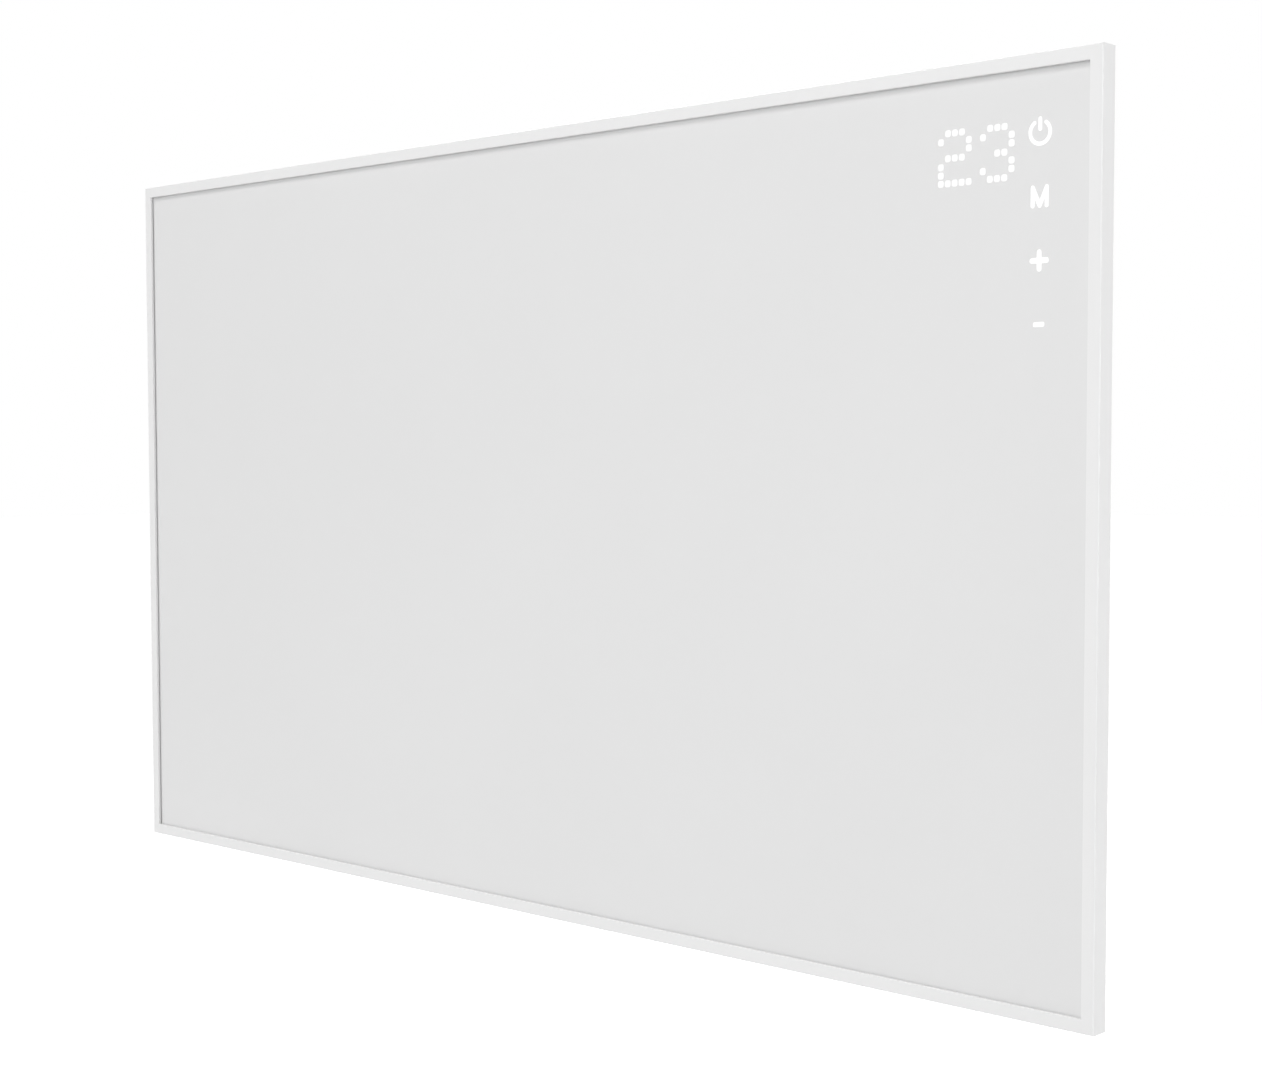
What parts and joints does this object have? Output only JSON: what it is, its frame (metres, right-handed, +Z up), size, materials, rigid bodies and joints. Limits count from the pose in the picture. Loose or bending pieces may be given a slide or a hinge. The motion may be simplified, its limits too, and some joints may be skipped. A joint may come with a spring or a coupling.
{
  "type": "infrared panel heater",
  "caption": "Flat wall-hung infrared panel heater: white glass front in a thin mitred frame, lit number and touch marks at the top right, control box and keyhole brackets behind.",
  "frame": {"origin": "in the wall plane, at the centre of the four keyholes, which is also the panel's centre seen from the front", "axes": "+X to the right as seen from the front, +Y into the wall, +Z up"},
  "size_m": [1, 0.038, 0.6],
  "materials": {
    "black_foam": "closed-cell foam strip",
    "black_plastic": "moulded, matt black",
    "blade_brass": "brass blades",
    "brass_screw": "bare brass",
    "bright_foil": "bright aluminium foil",
    "brown_lead": "brown and blue insulated leads",
    "carbon_print": "printed carbon",
    "ceramic_case": "glazed ceramic",
    "copper_strip": "bare copper strip",
    "earth_insulation": "green and yellow insulation",
    "fibre_board": "pressed mineral fibre",
    "fuse_glass": "clear tube with nickelled caps",
    "galvanised_sheet": "galvanised steel sheet",
    "green_board": "solder mask on glass-fibre board",
    "grey_gasket": "soft matt silicone",
    "grey_plastic": "light grey moulding",
    "heater_film": "amber polyester laminate",
    "key_casting": "die cast, matt",
    "led_case": "white lamp body with clear lens",
    "plated_screw": "bright zinc plated",
    "radio_shield": "tinned shield can on a small board",
    "relay_case": "blue sealed case",
    "rivet_metal": "plain aluminium rivets",
    "seal_rubber": "black rubber",
    "silicone_lead": "red-brown silicone insulation",
    "sleeve_plastic": "red insulating sleeve",
    "spring_wire": "gold-flashed spring wire",
    "switch_plastic": "black polyamide",
    "terminal_plastic": "green moulded terminal",
    "tinned_metal": "tinned copper",
    "white_backed_glass": "tempered, white enamel on the back",
    "white_coating": "smooth satin powder coat",
    "white_moulding": "moulded, fine spark texture",
    "white_print": "bright white light windows and marks"
  },
  "bodies": {
    "heater": {"frame_top": "white_coating", "frame_bottom": "white_coating", "frame_left": "white_coating", "frame_right": "white_coating", "corner_keys": "key_casting", "corner_key_screws": "plated_screw", "front_gasket": "grey_gasket", "front_glass": "white_backed_glass", "lit_digit_dots": "white_print", "touch_marks": "white_print", "heating_film": "heater_film", "carbon_bands": "carbon_print", "film_busbars": "copper_strip", "busbar_terminals": "tinned_metal", "reflector_foil": "bright_foil", "insulation_board": "fibre_board", "rear_seal": "black_foam", "rear_cover": "galvanised_sheet", "rear_cover_screws": "plated_screw", "thermal_cutout": "ceramic_case", "heater_leads": "silicone_lead", "light_mask": "black_plastic", "display_board": "green_board", "display_leds": "led_case", "board_screws": "plated_screw", "touch_springs": "spring_wire", "control_chips": "black_plastic", "link_header": "black_plastic", "control_box": "white_moulding", "control_box_lid": "white_moulding", "control_box_screws": "plated_screw", "power_board": "green_board", "power_supply_module": "black_plastic", "relay": "relay_case", "fuse": "fuse_glass", "wireless_module": "radio_shield", "buzzer": "black_plastic", "board_terminals": "terminal_plastic", "terminal_block": "grey_plastic", "terminal_screws": "plated_screw", "mains_leads": "brown_lead", "earth_lead": "earth_insulation", "earth_pillar": "plated_screw", "earth_tag": "tinned_metal", "earth_screw": "brass_screw", "room_sensor": "black_plastic", "gland_body": "grey_plastic", "gland_locknut": "grey_plastic", "gland_seal": "seal_rubber", "gland_nut": "grey_plastic", "switch_housing": "switch_plastic", "switch_blades": "blade_brass", "spade_sleeves": "sleeve_plastic", "wall_bracket_upper_left": "galvanised_sheet", "wall_bracket_upper_right": "galvanised_sheet", "wall_bracket_lower_left": "galvanised_sheet", "wall_bracket_lower_right": "galvanised_sheet", "bracket_rivets": "rivet_metal"},
    "rocker": {"switch_rocker": "switch_plastic"}
  },
  "joints": [
    {"name": "mains_switch", "type": "hinge", "parent": "heater", "child": "rocker", "pos_m": [0.47555, -0.0137, 0.19], "axis": [0, 1, 0], "range_deg": [0, 22]}
  ]
}
